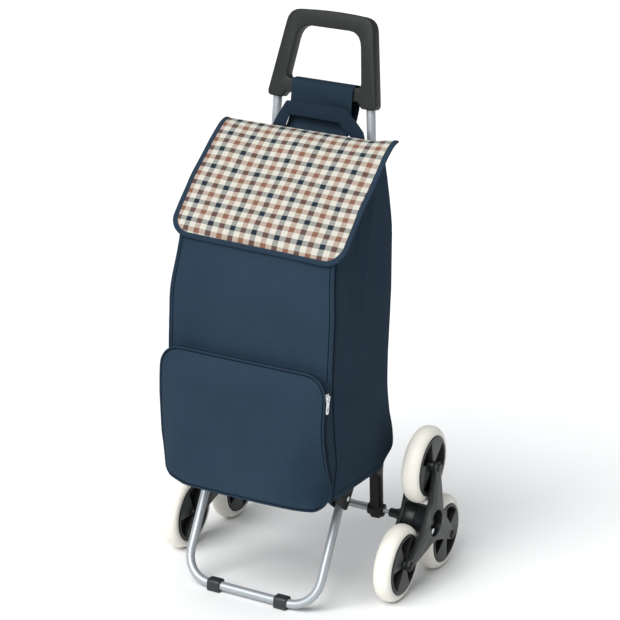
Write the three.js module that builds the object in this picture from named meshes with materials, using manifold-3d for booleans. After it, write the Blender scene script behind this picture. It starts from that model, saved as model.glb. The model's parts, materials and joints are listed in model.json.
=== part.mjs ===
// Folding shopping trolley with stair-climbing three-wheel clusters.
// Millimetres, +Z up, the bag's pocket faces -Y and the wheels are at +Y.
// Everything is laid out from the axle (y = 0) and moved by AXLE_Y at the end, so that the
// trolley is centred on its bounding box.
import * as THREE from 'three';
import { mergeVertices } from 'three/addons/utils/BufferGeometryUtils.js';
import Module from 'manifold-3d';

const wasm = await Module();
wasm.setup();

// ---------- driving dimensions ----------
const GAP = 0.3; // between pieces that touch
const SIDES = [['left', -1], ['right', 1]];

const WHEEL_R = 70;
const WHEEL_X = 213; // middle plane of a wheel
const ARM = 105; // hub to wheel pin
const ARM_ANGLES = [90, 210, 330].map(THREE.MathUtils.degToRad);
const AXLE_Z = WHEEL_R + ARM / 2;
const POCKET_FRONT = 322; // how far the pocket's face stands in front of the axle
const REACH_BACK = ARM * Math.cos(Math.PI / 6) + WHEEL_R;
const AXLE_Y = (POCKET_FRONT - REACH_BACK) / 2;

const TUBE_R = 8;
const TUBE_WALL = 1.2;
const ROD_R = 4;
const RIVET_R = 2.5;
const RAIL_R = 4;

const UPRIGHT_FOOT = new THREE.Vector3(128, 0, AXLE_Z);
const UPRIGHT_TOP = new THREE.Vector3(89, -61, 857);
const UPRIGHT_DIR = UPRIGHT_TOP.clone().sub(UPRIGHT_FOOT).normalize();

const POST_W = 21;
const POST_D = 19;
const EAR = { from: 121, to: 135 }; // the ear on a post's front, and the eye of the platform's rail in it
const EYE_HALF = 3;
const FOLD = { y: -25.5, z: 209.5 }; // hinge line of the platform
const STAND = { y: -157, z: 195 }; // hinge line of the stand
const SIDE_X = 129; // middle of the stand's legs and of the platform's rails
const STAND_BAR = { y: -237, z: 11.5 };
const FOOT_X = 66;

const GRIP_BAR = { y: -60, z: 879, half: 12 };

// front and back of the bag, as [z, front y, back y, half width]
const BAG = [
  [217, -246, -44, 150],
  [223, -250, -36, 153],
  [240, -251, -26, 155],
  [265, -250, -25, 155],
  [311, -257, -34, 155],
  [376, -275, -46, 155],
  [441, -286, -54, 155],
  [577, -286, -64, 155],
  [642, -277, -72, 154],
  [686, -270, -78, 154],
  [753, -262, -104, 153],
  [815, -250, -114, 152],
];
const BAG_WALL = 3;
const BAG_CORNER = 24;

// the flap's side view as [y, z], from its hinge down over the front
const FLAP_LINE = [
  [-106, 815], [-120, 811], [-145, 795], [-166, 778], [-194, 751],
  [-221, 727], [-244, 703], [-265, 681], [-277, 666], [-285, 654], [-288, 641],
];
const FLAP_HALF = 165;
const FLAP_CORNER = 36;
const FLAP_THICK = 3;

// the pocket's front seam as [x, y, z]: down the zip side, along the bottom, up the other side, over the top
const POCKET_SEAM = [
  [157, -311, 419], [157, -310, 365], [157, -305, 342], [157, -297, 320], [157, -288.5, 298],
  [157, -279, 279], [157, -271, 262], [157, -265, 247], [156.5, -268, 233], [155, -284, 225],
  [149, -303, 221.5], [134, -310, 220.5], [109, -315, 220], [60, -318.5, 220], [0, -320, 220],
  [-60, -320, 220], [-92, -318, 220.5], [-111, -310, 221.5], [-130, -300, 222.5], [-140, -293, 226],
  [-148, -286, 232], [-153.5, -280, 243], [-155, -285, 271], [-155, -293, 297], [-155, -300, 335],
  [-155, -305, 363], [-155, -308, 391], [-155, -309, 419], [-152.3, -310, 433.5], [-144.5, -311, 446],
  [-132.8, -311, 454], [-119, -311, 457], [-60, -311, 457], [0, -311, 457], [60, -311, 457],
  [119, -311, 457], [133.5, -311, 454], [146, -311, 446], [154, -311, 433.5],
];
const POCKET_MIDDLE = 338; // height of the middle of its face
const POCKET_REACH = { across: 157, up: 118 }; // from that middle to its edges
const POCKET_BACK = -236;

// ---------- materials ----------
function paint(color, roughness, metalness = 0) {
  return new THREE.MeshStandardMaterial({ color, roughness, metalness });
}
const STEEL_PAINT = paint(0xa9b1b6, 0.35, 0.6);
const ZINC = paint(0xc9cdd0, 0.25, 0.9);
const BLACK_PLASTIC = paint(0x1d1f21, 0.5);
const GREY_PLASTIC = paint(0x3d4144, 0.55);
const TYRE = paint(0xefede3, 0.6);
const NAVY = paint(0x344558, 0.8);
const NAVY_DARK = paint(0x212e3c, 0.8);
const PLAID = paint(0xa08878, 0.8);

// ---------- solids ----------
/** Merge a geometry's shared corners, drop collapsed triangles and face it outward. */
function closed(source) {
  const bare = source.clone();
  bare.deleteAttribute('normal');
  bare.deleteAttribute('uv');
  const merged = mergeVertices(bare, 1e-4);
  const place = merged.attributes.position;
  const index = Array.from(merged.index.array);
  const kept = [];
  let volume = 0;
  const [a, b, c] = [new THREE.Vector3(), new THREE.Vector3(), new THREE.Vector3()];
  for (let i = 0; i < index.length; i += 3) {
    const [p, q, r] = index.slice(i, i + 3);
    if (p === q || q === r || r === p) continue;
    kept.push(p, q, r);
    a.fromBufferAttribute(place, p);
    b.fromBufferAttribute(place, q);
    c.fromBufferAttribute(place, r);
    volume += a.dot(b.cross(c));
  }
  if (volume < 0) kept.reverse();
  merged.setIndex(kept);
  return merged;
}

function solid(geometry) {
  const surface = closed(geometry);
  const mesh = new wasm.Mesh({
    numProp: 3,
    vertProperties: Float32Array.from(surface.attributes.position.array),
    triVerts: Uint32Array.from(surface.index.array),
  });
  mesh.merge();
  return new wasm.Manifold(mesh);
}

function geometryOf(manifold) {
  const mesh = manifold.getMesh();
  const geometry = new THREE.BufferGeometry();
  geometry.setAttribute('position', new THREE.BufferAttribute(mesh.vertProperties, 3));
  geometry.setIndex(new THREE.BufferAttribute(mesh.triVerts, 1));
  return geometry;
}

/** Join the first list of geometries and cut the second list away from it. */
function combine(joined, cut = []) {
  let result = solid(joined[0]);
  for (const piece of joined.slice(1)) result = result.add(solid(piece));
  for (const piece of cut) result = result.subtract(solid(piece));
  return geometryOf(result);
}

/** Turn a closed profile of [x, radius] points about the X axis. */
function turned(profile, segments, phase = 0) {
  const points = profile.map(([x, r]) => new THREE.Vector2(r, x));
  const lathe = new THREE.LatheGeometry(points, segments, phase);
  return closed(lathe.rotateZ(-Math.PI / 2));
}

/** A round bar along X, from one x to the other. */
function barX(from, to, radius, y = 0, z = 0, segments = 20) {
  const bar = new THREE.CylinderGeometry(radius, radius, Math.abs(to - from), segments);
  return bar.rotateZ(Math.PI / 2).translate((from + to) / 2, y, z);
}

function block(xs, ys, zs) {
  const size = [xs, ys, zs].map(([low, high]) => high - low);
  const middle = [xs, ys, zs].map(([low, high]) => (low + high) / 2);
  return new THREE.BoxGeometry(...size).translate(...middle);
}

function flatPoints(outline) {
  return outline.map(([u, v]) => new THREE.Vector2(u, v));
}

/** Extrude a [y, z] outline along X, centred on x = 0, with any holes left open. */
function slabX(outline, halfWidth, holes = []) {
  const shape = new THREE.Shape(flatPoints(outline));
  for (const hole of holes) shape.holes.push(new THREE.Path(flatPoints(hole)));
  const slab = new THREE.ExtrudeGeometry(shape, { depth: 2 * halfWidth, bevelEnabled: false });
  // the shape's own x and y become Y and Z, and its depth becomes X
  const turn = new THREE.Matrix4().makeBasis(
    new THREE.Vector3(0, 1, 0), new THREE.Vector3(0, 0, 1), new THREE.Vector3(1, 0, 0));
  return slab.applyMatrix4(turn).translate(-halfWidth, 0, 0);
}

/** Skin a stack of closed rings with equal numbers of points, and cap both ends. */
function skin(rings) {
  const count = rings[0].length;
  const points = rings.flat();
  const index = [];
  for (let level = 0; level + 1 < rings.length; level++) {
    for (let i = 0; i < count; i++) {
      const a = level * count + i;
      const b = level * count + (i + 1) % count;
      index.push(a, b, b + count, a, b + count, a + count);
    }
  }
  for (const [level, flip] of [[0, true], [rings.length - 1, false]]) {
    const middle = new THREE.Vector3();
    for (const point of rings[level]) middle.addScaledVector(point, 1 / count);
    points.push(middle);
    for (let i = 0; i < count; i++) {
      const pair = [level * count + i, level * count + (i + 1) % count];
      if (flip) pair.reverse();
      index.push(...pair, points.length - 1);
    }
  }
  const geometry = new THREE.BufferGeometry().setFromPoints(points);
  geometry.setIndex(index);
  return closed(geometry);
}

/** A rounded rectangle as [u, v] points, with equal numbers of points at each corner. */
function roundedRectangle(u0, u1, v0, v1, radius, steps = 4) {
  const corners = [[u1, v1, 0], [u0, v1, 1], [u0, v0, 2], [u1, v0, 3]];
  const points = [];
  for (const [u, v, turn] of corners) {
    const middleU = u - Math.sign(u - (u0 + u1) / 2) * radius;
    const middleV = v - Math.sign(v - (v0 + v1) / 2) * radius;
    for (let k = 0; k <= steps; k++) {
      const angle = (turn + k / steps) * Math.PI / 2;
      points.push([middleU + radius * Math.cos(angle), middleV + radius * Math.sin(angle)]);
    }
  }
  return points;
}

/** Replace each inner corner of a route by an arc of the given bend radius. */
function filleted(corners, radius, steps = 6) {
  const points = [corners[0]];
  for (let i = 1; i + 1 < corners.length; i++) {
    const back = corners[i - 1].clone().sub(corners[i]).normalize();
    const ahead = corners[i + 1].clone().sub(corners[i]).normalize();
    const half = back.angleTo(ahead) / 2;
    const reach = radius / Math.tan(half);
    const start = corners[i].clone().addScaledVector(back, reach);
    const middle = corners[i].clone()
      .addScaledVector(back.clone().add(ahead).normalize(), radius / Math.sin(half));
    const axis = new THREE.Vector3().crossVectors(back, ahead).normalize().negate();
    const sweep = Math.PI - 2 * half;
    for (let k = 0; k <= steps; k++) {
      const spoke = start.clone().sub(middle).applyAxisAngle(axis, sweep * k / steps);
      points.push(middle.clone().add(spoke));
    }
  }
  points.push(corners.at(-1));
  return points;
}

/** A round bar along a route, its section carried along without twisting. */
function bar(route, radius, segments = 14) {
  let side = null;
  let last = null;
  const rings = route.map((point, i) => {
    const before = route[Math.max(i - 1, 0)];
    const after = route[Math.min(i + 1, route.length - 1)];
    const ahead = after.clone().sub(point).normalize()
      .add(point.clone().sub(before).normalize()).normalize();
    if (side === null) {
      const other = Math.abs(ahead.x) < 0.9 ? new THREE.Vector3(1, 0, 0) : new THREE.Vector3(0, 0, 1);
      side = other.cross(ahead).normalize();
    } else {
      side.applyQuaternion(new THREE.Quaternion().setFromUnitVectors(last, ahead));
    }
    last = ahead;
    const up = new THREE.Vector3().crossVectors(ahead, side);
    return Array.from({ length: segments }, (_, k) => {
      const angle = 2 * Math.PI * k / segments;
      return point.clone().addScaledVector(side, radius * Math.cos(angle))
        .addScaledVector(up, radius * Math.sin(angle));
    });
  });
  return skin(rings);
}

/** A hollow tube along a route, open at both ends. */
function tube(route, radius, wall, cuts = []) {
  const longer = route.map((point) => point.clone());
  const first = route[0].clone().sub(route[1]).normalize();
  const final = route.at(-1).clone().sub(route.at(-2)).normalize();
  longer[0].add(first);
  longer.at(-1).add(final);
  return combine([bar(route, radius)], [bar(longer, radius - wall), ...cuts]);
}

// ---------- the trolley ----------
const trolley = new THREE.Group();
const atAxle = new THREE.Group();
atAxle.position.y = AXLE_Y;
trolley.add(atAxle);

function add(name, geometry, material) {
  const mesh = new THREE.Mesh(geometry, material);
  mesh.name = name;
  atAxle.add(mesh);
}

// --- handle frame: moulded grip, two leaning tubes and the posts that hold the axle ---
function uprightAt(sign, distance) {
  const point = UPRIGHT_FOOT.clone().addScaledVector(UPRIGHT_DIR, distance);
  point.x *= sign;
  return point;
}

/** Turn a geometry built along +Z at the axle so that it follows an upright. */
function alongUpright(geometry, sign) {
  const direction = UPRIGHT_DIR.clone();
  direction.x *= sign;
  const turn = new THREE.Quaternion().setFromUnitVectors(new THREE.Vector3(0, 0, 1), direction);
  return geometry.applyQuaternion(turn).translate(sign * UPRIGHT_FOOT.x, 0, AXLE_Z);
}

const UPRIGHT_LENGTH = UPRIGHT_TOP.distanceTo(UPRIGHT_FOOT);
const SOCKET_LOW = 22; // where an upright starts inside its post
const SOCKET_HIGH = 22; // how far an upright goes up into the grip

function upright(sign) {
  const route = [uprightAt(sign, SOCKET_LOW), uprightAt(sign, UPRIGHT_LENGTH + SOCKET_HIGH)];
  return tube(route, TUBE_R, TUBE_WALL);
}

/** The space an upright takes in the pieces that hold it. */
function uprightSpace(sign, from, to) {
  return bar([uprightAt(sign, from), uprightAt(sign, to)], TUBE_R + GAP);
}

/** The ear on a post's front that the platform hinges on. */
function hingeEar(sign) {
  const [ahead, low, high] = [FOLD.y - 8, FOLD.z - 21, FOLD.z + 4];
  const outline = [
    [0, low], [-12, low + 2], [ahead + 4, low + 14], [ahead, FOLD.z - 3], [ahead, high], [0, high],
  ];
  return slabX(outline, (EAR.to - EAR.from) / 2).translate(sign * (EAR.from + EAR.to) / 2, 0, 0);
}

function post(sign) {
  const outline = roundedRectangle(-POST_W / 2, POST_W / 2, -POST_D / 2, POST_D / 2, 4);
  const levels = [[-14, 0.86], [-10, 1], [84, 1], [90, 0.93]];
  const column = skin(levels.map(([height, grow]) =>
    outline.map(([x, y]) => new THREE.Vector3(x * grow, y * grow, height))));
  const boss = barX(sign * 114, sign * 142, 12, 0, AXLE_Z);
  const slot = block(
    [sign * SIDE_X - EYE_HALF - GAP, sign * SIDE_X + EYE_HALF + GAP],
    [FOLD.y - 20, FOLD.y + 9], [FOLD.z - 12, FOLD.z + 12]);
  return combine(
    [alongUpright(column, sign), boss, hingeEar(sign)],
    [
      slot,
      uprightSpace(sign, SOCKET_LOW - GAP, UPRIGHT_LENGTH),
      barX(sign * 100, sign * 160, ROD_R + GAP, 0, AXLE_Z),
      barX(sign * 100, sign * 160, RIVET_R + GAP, FOLD.y, FOLD.z, 12),
    ],
  );
}

function grip() {
  const lean = Math.atan2(19.5, 152.5);
  const outer = new THREE.Shape();
  outer.moveTo(-68, -12);
  outer.lineTo(68, -12);
  outer.lineTo(76, -22);
  outer.lineTo(95, -22);
  outer.quadraticCurveTo(104, -22, 103, -12);
  outer.lineTo(83, 108);
  outer.quadraticCurveTo(79.5, 129, 60, 131);
  outer.quadraticCurveTo(0, 136, -60, 131);
  outer.quadraticCurveTo(-79.5, 129, -83, 108);
  outer.lineTo(-103, -12);
  outer.quadraticCurveTo(-104, -22, -95, -22);
  outer.lineTo(-76, -22);
  const opening = new THREE.Path();
  opening.moveTo(-62, 12);
  opening.quadraticCurveTo(-71, 12, -70, 21);
  opening.lineTo(-61.5, 80);
  opening.quadraticCurveTo(-57.5, 105, -36, 105);
  opening.lineTo(36, 105);
  opening.quadraticCurveTo(57.5, 105, 61.5, 80);
  opening.lineTo(70, 21);
  opening.quadraticCurveTo(71, 12, 62, 12);
  outer.holes.push(opening);
  const bevel = 3;
  const body = new THREE.ExtrudeGeometry(outer, {
    depth: 2 * (GRIP_BAR.half - bevel), bevelThickness: bevel, bevelSize: bevel, bevelOffset: -bevel,
    bevelSegments: 3, curveSegments: 5,
  });
  body.translate(0, 0, -(GRIP_BAR.half - bevel));
  body.rotateX(Math.PI / 2).rotateX(-lean).translate(0, GRIP_BAR.y, GRIP_BAR.z);
  const sockets = SIDES.map(([, sign]) =>
    uprightSpace(sign, UPRIGHT_LENGTH - 40, UPRIGHT_LENGTH + SOCKET_HIGH + GAP));
  return combine([body], sockets);
}

add('grip', grip(), GREY_PLASTIC);
for (const [side, sign] of SIDES) {
  add(`upright_${side}`, upright(sign), STEEL_PAINT);
  add(`post_${side}`, post(sign), BLACK_PLASTIC);
}

// --- axle: a painted spacer tube between the posts, and the steel rod through everything ---
const AXLE_END = 233;
const SPACER_HALF = 113.5;
add('axle_tube', closed(turned([
  [-SPACER_HALF, ROD_R + GAP], [-SPACER_HALF, 7], [SPACER_HALF, 7], [SPACER_HALF, ROD_R + GAP],
  [-SPACER_HALF, ROD_R + GAP],
], 20).translate(0, 0, AXLE_Z)), STEEL_PAINT);
add('axle_rod', barX(-AXLE_END, AXLE_END, ROD_R, 0, AXLE_Z), ZINC);

/** A rivet along X: a low round head outside, its shank inward. */
function rivet(sign, headX, length, headRadius, headThick, { y, z }) {
  const out = headX + headThick;
  const profile = [
    [headX - length, 0], [headX - length, RIVET_R], [headX, RIVET_R], [headX, headRadius],
    [out - headThick * 0.4, headRadius], [out, headRadius * 0.6], [out, 0],
  ];
  return turned(profile.map(([x, r]) => [sign * x, r]), 14).translate(0, y, z);
}

// --- folding platform: bent rail with a cross rod, brackets for the stand, base board ---
const RAIL_FRONT = -228;
const RAIL_CROSS = -60;

function platformRail() {
  const back = FOLD.y - 11;
  const corners = [
    new THREE.Vector3(-SIDE_X, back, FOLD.z), new THREE.Vector3(-SIDE_X, RAIL_FRONT, FOLD.z),
    new THREE.Vector3(SIDE_X, RAIL_FRONT, FOLD.z), new THREE.Vector3(SIDE_X, back, FOLD.z),
  ];
  const eyes = SIDES.flatMap(([, sign]) => [
    barX(sign * (SIDE_X - EYE_HALF), sign * (SIDE_X + EYE_HALF), 6.5, FOLD.y, FOLD.z),
    block(
      [sign * SIDE_X - EYE_HALF, sign * SIDE_X + EYE_HALF],
      [back - 3, FOLD.y], [FOLD.z - 3.5, FOLD.z + 3.5]),
  ]);
  const bores = SIDES.map(([, sign]) => barX(sign * 110, sign * 150, RIVET_R + GAP, FOLD.y, FOLD.z, 12));
  const cross = barX(-SIDE_X, SIDE_X, RAIL_R - 0.2, RAIL_CROSS, FOLD.z, 12);
  return combine([bar(filleted(corners, 22, 5), RAIL_R, 12), cross, ...eyes], bores);
}

const BRACKET = { from: 117, to: 141, low: 174, high: 215.5 };

/** The clevis under a rail that holds the stand: two cheeks that lean back with the stand's leg. */
function bracket(sign) {
  const { from, to, low, high } = BRACKET;
  const outline = [
    [-198, low + 26], [-170, low + 6], [-162, low + 1], [-156, low + 1], [-153, low + 4],
    [-133, high - 6], [-133, high - 2], [-136, high], [-196, high], [-200, high - 4],
  ];
  const body = slabX(outline, (to - from) / 2).translate(sign * (from + to) / 2, 0, 0);
  const slot = block(
    [sign * SIDE_X - TUBE_R - 0.4, sign * SIDE_X + TUBE_R + 0.4], [-205, -120], [low - 10, STAND.z + 9.4]);
  const railAxis = [-230, -120].map((y) => new THREE.Vector3(sign * SIDE_X, y, FOLD.z));
  const railSpace = bar(railAxis, RAIL_R + GAP, 12);
  const bore = barX(sign * 100, sign * 160, RIVET_R + GAP, STAND.y, STAND.z, 12);
  return combine([body], [slot, railSpace, bore]);
}

add('platform_rail', platformRail(), BLACK_PLASTIC);
add('base_board', block([-104, 104], [-232, -52], [FOLD.z + RAIL_R + GAP, 216.7]), BLACK_PLASTIC);
for (const [side, sign] of SIDES) {
  add(`bracket_${side}`, bracket(sign), BLACK_PLASTIC);
  add(`fold_pin_${side}`, rivet(sign, EAR.to + GAP, EAR.to - EAR.from, 3.2, 1.5, FOLD), ZINC);
  add(`stand_pin_${side}`, rivet(sign, BRACKET.to + GAP, BRACKET.to - BRACKET.from, 5, 2, STAND), ZINC);
}

// --- stand: one bent tube with two clamped feet ---
function stand() {
  const down = new THREE.Vector3(0, STAND_BAR.y - STAND.y, STAND_BAR.z - STAND.z).normalize();
  const corners = SIDES.map(([, sign]) => new THREE.Vector3(sign * SIDE_X, STAND_BAR.y, STAND_BAR.z));
  const tops = SIDES.map(([, sign]) =>
    new THREE.Vector3(sign * SIDE_X, STAND.y, STAND.z).addScaledVector(down, -4));
  const route = filleted([tops[0], corners[0], corners[1], tops[1]], 50);
  const bores = SIDES.map(([, sign]) => barX(sign * 110, sign * 150, RIVET_R + GAP, STAND.y, STAND.z, 12));
  return tube(route, TUBE_R, TUBE_WALL, bores);
}

function footClamp(sign) {
  const outline = roundedRectangle(-11, 11, 0, STAND_BAR.z + 11, 5, 3);
  const body = slabX(outline.map(([y, z]) => [STAND_BAR.y + y, z]), 12).translate(sign * FOOT_X, 0, 0);
  const space = barX(sign * FOOT_X - 20, sign * FOOT_X + 20, TUBE_R + GAP, STAND_BAR.y, STAND_BAR.z);
  return combine([body], [space]);
}

add('stand_tube', stand(), STEEL_PAINT);
for (const [side, sign] of SIDES) add(`foot_${side}`, footClamp(sign), GREY_PLASTIC);

// --- three-wheel clusters ---
const PLATE_IN = [192, 186]; // a wheel plate's face beside the wheels, and its outer face
const PLATE_OUT = [234, 245.5];
const ARM_TIP = { radius: 9.5, face: 241.5 }; // an outer arm thins towards its tip
const HUB_R = 31;
const RECESS = { radius: 25, floor: 231 };
const WHEEL_PIN_R = 5;

/** A wheel plate between two x positions: three arms that taper from the hub to round tips. */
function wheelPlate([from, to], tipFace) {
  const taper = [[24, 27], [45, 20.5], [75, 15], [97, 10.5]]; // distance from the axle, half width
  const places = ARM_ANGLES.flatMap((angle) => {
    const point = (r, w) => ({
      r, y: r * Math.cos(angle) - w * Math.sin(angle), z: r * Math.sin(angle) + w * Math.cos(angle),
    });
    const tip = [-60, -30, 0, 30, 60].map(THREE.MathUtils.degToRad)
      .map((turn) => point(ARM + ARM_TIP.radius * Math.cos(turn), ARM_TIP.radius * Math.sin(turn)));
    return [
      ...taper.map(([r, w]) => point(r, -w)), ...tip, ...taper.toReversed().map(([r, w]) => point(r, w)),
    ];
  });
  const [full, thin] = [45, ARM - 10]; // the plate thins between these distances
  const thinned = (r) => to + (tipFace - to) * THREE.MathUtils.clamp((r - full) / (thin - full), 0, 1);
  return skin([
    places.map(({ y, z }) => new THREE.Vector3(from, y, z)),
    places.map(({ r, y, z }) => new THREE.Vector3(thinned(r), y, z)),
    places.map(({ y, z }) => new THREE.Vector3(to, y * 0.4, z * 0.4)),
  ]);
}

function wheelPlace(angle) {
  return [ARM * Math.cos(angle), ARM * Math.sin(angle)];
}

function spider(sign) {
  const core = turned([
    [190, 0], [190, 34], [199, 29.5], [212, 27.5], [213, 28.6], [214, 27.5], [227, 29.5], [236, 34],
    [236, 0],
  ], 32);
  const inner = turned([
    [154.6, 0], [154.6, 7.5], [156, 8.5], [166, 8.5], [175, 12], [183, 21], [190, 25], [190, 0],
  ], 24);
  const [, hubFace] = PLATE_OUT;
  const outer = turned([
    [233, 0], [233, HUB_R], [hubFace - 1.5, HUB_R], [hubFace, HUB_R - 2], [hubFace, 0],
  ], 32);
  const recess = barX(RECESS.floor, hubFace + 1, RECESS.radius, 0, 0, 32);
  const bore = barX(150, hubFace + 1, ROD_R + GAP, 0, 0);
  const clearings = ARM_ANGLES.map((angle) =>
    barX(PLATE_IN[0], PLATE_OUT[0], WHEEL_R + 4, ...wheelPlace(angle), 32));
  const pinHoles = ARM_ANGLES.flatMap((angle) => [
    barX(180, 250, WHEEL_PIN_R + GAP, ...wheelPlace(angle)),
    barX(ARM_TIP.face, 250, WHEEL_PIN_R + 3.2, ...wheelPlace(angle)), // a flat seat for the pin's head
  ]);
  const body = combine(
    [wheelPlate(PLATE_IN, PLATE_IN[1]), wheelPlate(PLATE_OUT, ARM_TIP.face), core, inner, outer],
    [...clearings, recess, bore, ...pinHoles],
  );
  return closed(body.scale(sign, 1, 1)).translate(0, 0, AXLE_Z);
}

const DISC_R = 54.4;
const RIM_HALF = 17.5;

/** The wheel disc: hub, thin web, rim, and three wide petals flush with the rim on both faces. */
function wheelDisc() {
  const bore = WHEEL_PIN_R + GAP;
  const rim = turned([
    [-20.4, bore], [-20.4, 9.5], [-5, 9.5], [-5, 48], [-RIM_HALF, 49.5], [-RIM_HALF, DISC_R],
    [RIM_HALF, DISC_R], [RIM_HALF, 49.5], [5, 48], [5, 9.5], [20.4, 9.5], [20.4, bore], [-20.4, bore],
  ], 24);
  const petals = ARM_ANGLES.map((angle) => {
    const outline = [[8, -6], [43.3, -26], [48.8, -13], [50.5, 0], [48.8, 13], [43.3, 26], [8, 6]];
    return slabX(outline.map(([r, w]) => [
      r * Math.cos(angle) - w * Math.sin(angle), r * Math.sin(angle) + w * Math.cos(angle),
    ]), RIM_HALF);
  });
  return combine([rim, ...petals], [barX(-30, 30, bore)]);
}

/** The solid tyre: a broad round tread on a flat seat. */
function tyre() {
  const seat = DISC_R + 0.35;
  const half = 16.5;
  const shoulder = WHEEL_R - 11;
  const profile = [[-half + 1, seat]];
  for (let k = 0; k <= 6; k++) {
    const angle = Math.PI * (1 - k / 6);
    profile.push([half * Math.cos(angle), shoulder + (WHEEL_R - shoulder) * Math.sin(angle)]);
  }
  profile.push([half - 1, seat], [-half + 1, seat]);
  return turned(profile, 32);
}

const WHEELS = [
  // name, direction from the axle, and how far its disc is turned
  ['top', ARM_ANGLES[0], THREE.MathUtils.degToRad(-15)],
  ['front', ARM_ANGLES[1], THREE.MathUtils.degToRad(-60)],
  ['rear', ARM_ANGLES[2], THREE.MathUtils.degToRad(40)],
];
const disc = wheelDisc();
const tread = tyre();
for (const [side, sign] of SIDES) {
  add(`spider_${side}`, spider(sign), GREY_PLASTIC);
  const cap = turned([
    [AXLE_END + GAP, 0], [AXLE_END + GAP, ROD_R + GAP], [RECESS.floor + GAP, ROD_R + GAP],
    [RECESS.floor + GAP, 8.5], [AXLE_END + 3, 9], [AXLE_END + 5.5, 6.5], [AXLE_END + 6.3, 0],
  ].map(([x, r]) => [sign * x, r]), 20);
  add(`axle_cap_${side}`, cap.translate(0, 0, AXLE_Z), BLACK_PLASTIC);
  add(`release_button_${side}`,
    barX(sign * (RECESS.floor + GAP), sign * 241, 6.2, 0, AXLE_Z - 17.5), ZINC);
  for (const [wheel, direction, turn] of WHEELS) {
    const [y, height] = wheelPlace(direction);
    const z = AXLE_Z + height;
    const name = `${wheel}_${side}`;
    const pin = turned([
      [183.2, 0], [183.2, 7], [185.7, 7], [185.7, WHEEL_PIN_R], [241.8, WHEEL_PIN_R], [241.8, 7.5],
      [243.5, 7.5], [244.3, 6], [244.3, 0],
    ].map(([x, r]) => [sign * x, r]), 16);
    add(`pin_${name}`, pin.translate(0, y, z), BLACK_PLASTIC);
    add(`disc_${name}`, disc.clone().rotateX(turn).translate(sign * WHEEL_X, y, z), GREY_PLASTIC);
    add(`tyre_${name}`, tread.clone().translate(sign * WHEEL_X, y, z), TYRE);
  }
}

// --- bag ---
function bagRing([z, front, back, half], inset) {
  return roundedRectangle(-half + inset, half - inset, front + inset, back - inset, BAG_CORNER - inset)
    .map(([x, y]) => new THREE.Vector3(x, y, z));
}

/** A side-view line moved to its inner side (down and back) by a distance. */
function movedIn(line, distance) {
  return line.map(([y, z], i) => {
    const [y0, z0] = line[Math.max(i - 1, 0)];
    const [y1, z1] = line[Math.min(i + 1, line.length - 1)];
    const length = Math.hypot(y1 - y0, z1 - z0);
    return [y - distance * (z1 - z0) / length, z + distance * (y1 - y0) / length];
  });
}

function bagBody() {
  const outside = skin(BAG.map((level) => bagRing(level, 0)));
  const levels = BAG.map(([z, ...rest]) => [z + (z < 230 ? BAG_WALL : 0), ...rest]);
  levels[levels.length - 1][0] += 10;
  const inside = skin(levels.map((level) => bagRing(level, BAG_WALL)));
  const rim = movedIn(FLAP_LINE, 8);
  const above = [[0, rim[0][1]], ...rim, [-420, rim.at(-1)[1]], [-420, 900], [0, 900]];
  return combine([outside], [inside, slabX(above, 200)]);
}

/** The pocket's outline at a distance inside its seam, full to the front away from the seam. */
function pocketRing(distance) {
  return POCKET_SEAM.map(([x, y, z]) => {
    // the cloth rounds over a longer way where its seam lies farther back
    const rounding = Math.min(36 + 1.7 * Math.max(y + 311, 0), 110);
    const full = 1 - (1 - Math.min(distance / rounding, 1)) ** 1.5;
    const depth = y - (POCKET_FRONT + y) * full;
    const [across, up] = [1 - distance / POCKET_REACH.across, 1 - distance / POCKET_REACH.up];
    return new THREE.Vector3(x * across, depth, POCKET_MIDDLE + (z - POCKET_MIDDLE) * up);
  });
}

function pocket() {
  const back = POCKET_SEAM.map(([x, , z]) => new THREE.Vector3(x, POCKET_BACK, z));
  const body = skin([back, ...[0, 4, 12, 26, 48, 80, 100].map(pocketRing)]);
  const bagFront = BAG.map(([z, front]) => [front - GAP, z]);
  const behind = [...bagFront, [-150, bagFront.at(-1)[1]], [-150, 100], [bagFront[0][0], 100]];
  return combine([body], [slabX(behind, 200)]);
}

function flap() {
  const top = movedIn(FLAP_LINE, 0);
  const under = movedIn(FLAP_LINE, FLAP_THICK);
  let run = 0;
  const runs = FLAP_LINE.map(([y, z], i) => {
    if (i > 0) run += Math.hypot(y - FLAP_LINE[i - 1][0], z - FLAP_LINE[i - 1][1]);
    return run;
  });
  const rings = top.map(([y, z], i) => {
    const left = Math.max(FLAP_CORNER - (run - runs[i]), 0);
    const half = FLAP_HALF - FLAP_CORNER + Math.sqrt(FLAP_CORNER ** 2 - left ** 2);
    const [yu, zu] = under[i];
    const across = [-1, -0.5, 0, 0.5, 1];
    return [
      ...across.map((k) => new THREE.Vector3(k * half, y, z)),
      ...across.toReversed().map((k) => new THREE.Vector3(k * half, yu, zu)),
    ];
  });
  return skin(rings);
}

// side view of the hanging sleeve as [y, z]: from its tail up its front, over the bar and down its back
const SLEEVE = [
  [-100.5, 807], [-92, 812], [-82, 820], [-77.5, 832], [-77, 884], [-74, 891.5], [-68, 895],
  [-52, 895], [-46, 891.5], [-43, 884], [-44.5, 852], [-50, 835], [-62, 822], [-80, 811], [-99.5, 802.5],
];
const SLEEVE_HALF = 58;
const SLEEVE_MIDDLE = 2;
const SLEEVE_CLOTH = 2;

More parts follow.
